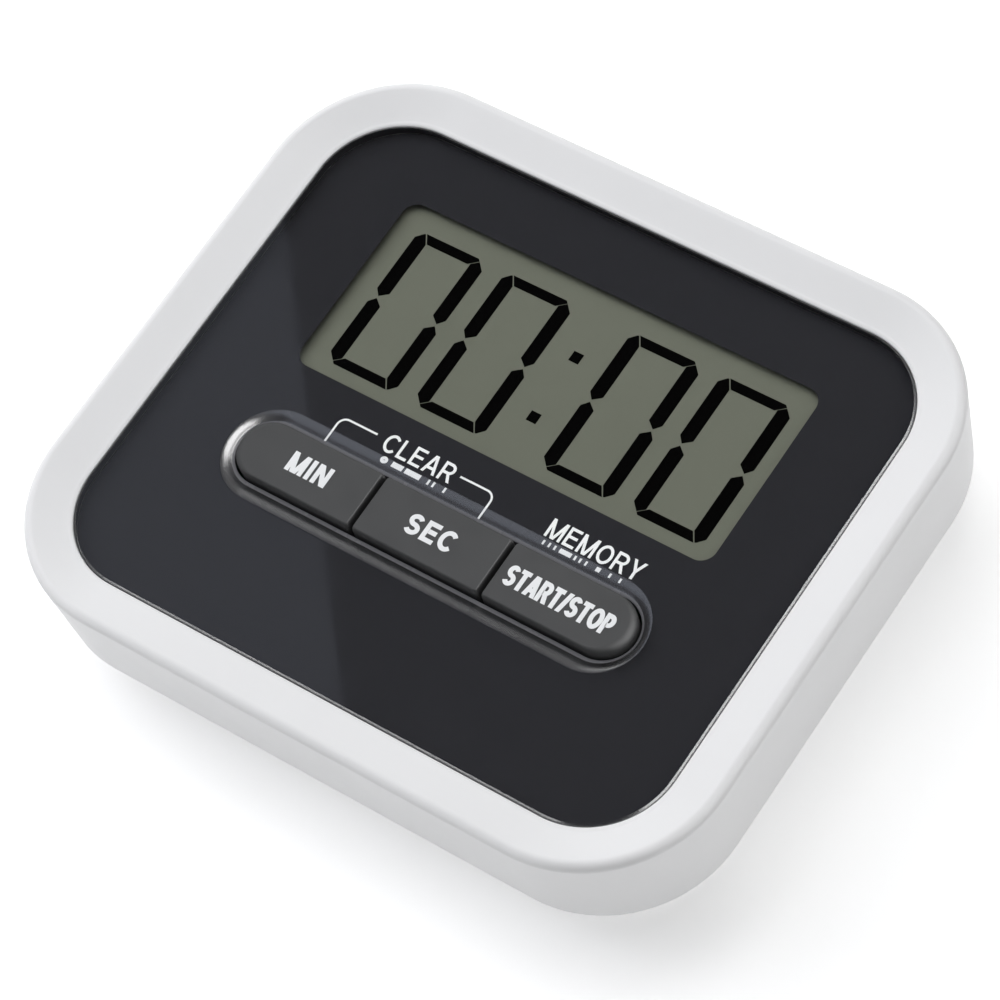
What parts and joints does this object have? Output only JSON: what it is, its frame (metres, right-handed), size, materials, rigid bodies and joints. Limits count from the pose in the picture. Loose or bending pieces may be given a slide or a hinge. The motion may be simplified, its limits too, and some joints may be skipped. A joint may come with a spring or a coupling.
{
  "type": "lab timer",
  "caption": "Pocket-size digital lab timer: white two-part case, dark front panel with a clock display and a row of keys, folding stand, battery door and magnetic back.",
  "frame": {"origin": "centre of the case outline on its back face, on which the timer lies", "axes": "+X along the display text to the reader's right, +Y to the top of the display, +Z out of the front"},
  "size_m": [0.082, 0.07, 0.0175],
  "materials": {
    "case_white": "satin moulded white plastic",
    "lens_panel": "clear acrylic, printed black behind, polished",
    "black_tape": "matt die-cut adhesive tape",
    "lcd_film": "satin olive-grey film",
    "lcd_glass": "clear",
    "black_plastic": "matt",
    "elastomer": "matt",
    "board": "solder mask, satin",
    "epoxy": "semi-gloss drop",
    "capacitor_sleeve": "heat-shrunk sleeve",
    "key_grey": "fine matt moulding",
    "silicone": "matt",
    "steel": "nickel plated",
    "brass": "rolled",
    "buzzer_ceramic": "matt",
    "magnet": "nickel plated",
    "cell_sleeve": "printed sleeve, plain blue",
    "wire_red": "insulation",
    "wire_black": "insulation"
  },
  "bodies": {
    "case": {"front_bezel": "case_white", "front_lens": "lens_panel", "lens_tape": "black_tape", "lcd_front_polariser": "lcd_film", "lcd_glass": "lcd_glass", "lcd_rear_reflector": "lcd_film", "lcd_holder": "black_plastic", "zebra_strip_upper": "elastomer", "zebra_strip_lower": "elastomer", "circuit_board": "board", "chip_blob": "epoxy", "crystal": "steel", "capacitor": "capacitor_sleeve", "dome_min": "silicone", "dome_sec": "silicone", "dome_start_stop": "silicone", "rear_cover": "case_white", "magnet_left": "magnet", "magnet_right": "magnet", "battery": "cell_sleeve", "battery_spring": "steel", "battery_contact_negative": "steel", "battery_contact_positive": "steel", "battery_wire_black": "wire_black", "battery_wire_red": "wire_red", "buzzer_disc": "brass", "buzzer_ceramic": "buzzer_ceramic", "buzzer_wire_black": "wire_black", "buzzer_wire_red": "wire_red", "case_screw_1": "steel", "board_screw_1": "steel", "case_screw_2": "steel", "board_screw_2": "steel", "case_screw_3": "steel", "board_screw_3": "steel", "case_screw_4": "steel", "board_screw_4": "steel"},
    "min_key": {"button_min": "key_grey"},
    "sec_key": {"button_sec": "key_grey"},
    "start_stop_key": {"button_start_stop": "key_grey"},
    "stand": {"kickstand": "case_white"},
    "door": {"battery_door": "case_white"}
  },
  "joints": [
    {"name": "min_press", "type": "slide", "parent": "case", "child": "min_key", "axis": [0, 0, -1], "range_m": [0, 0.0008], "stiffness_N_per_m": 800, "springref_m": -0.0005, "deforming": ["dome_min"]},
    {"name": "sec_press", "type": "slide", "parent": "case", "child": "sec_key", "axis": [0, 0, -1], "range_m": [0, 0.0008], "stiffness_N_per_m": 800, "springref_m": -0.0005, "deforming": ["dome_sec"]},
    {"name": "start_stop_press", "type": "slide", "parent": "case", "child": "start_stop_key", "axis": [0, 0, -1], "range_m": [0, 0.0008], "stiffness_N_per_m": 800, "springref_m": -0.0005, "deforming": ["dome_start_stop"]},
    {"name": "stand_fold", "type": "hinge", "parent": "case", "child": "stand", "pos_m": [0, 0.014, 0.0016], "axis": [1, 0, 0], "range_deg": [0, 60]},
    {"name": "door_slide", "type": "slide", "parent": "case", "child": "door", "axis": [0, -1, 0], "range_m": [0, 0.017]}
  ]
}
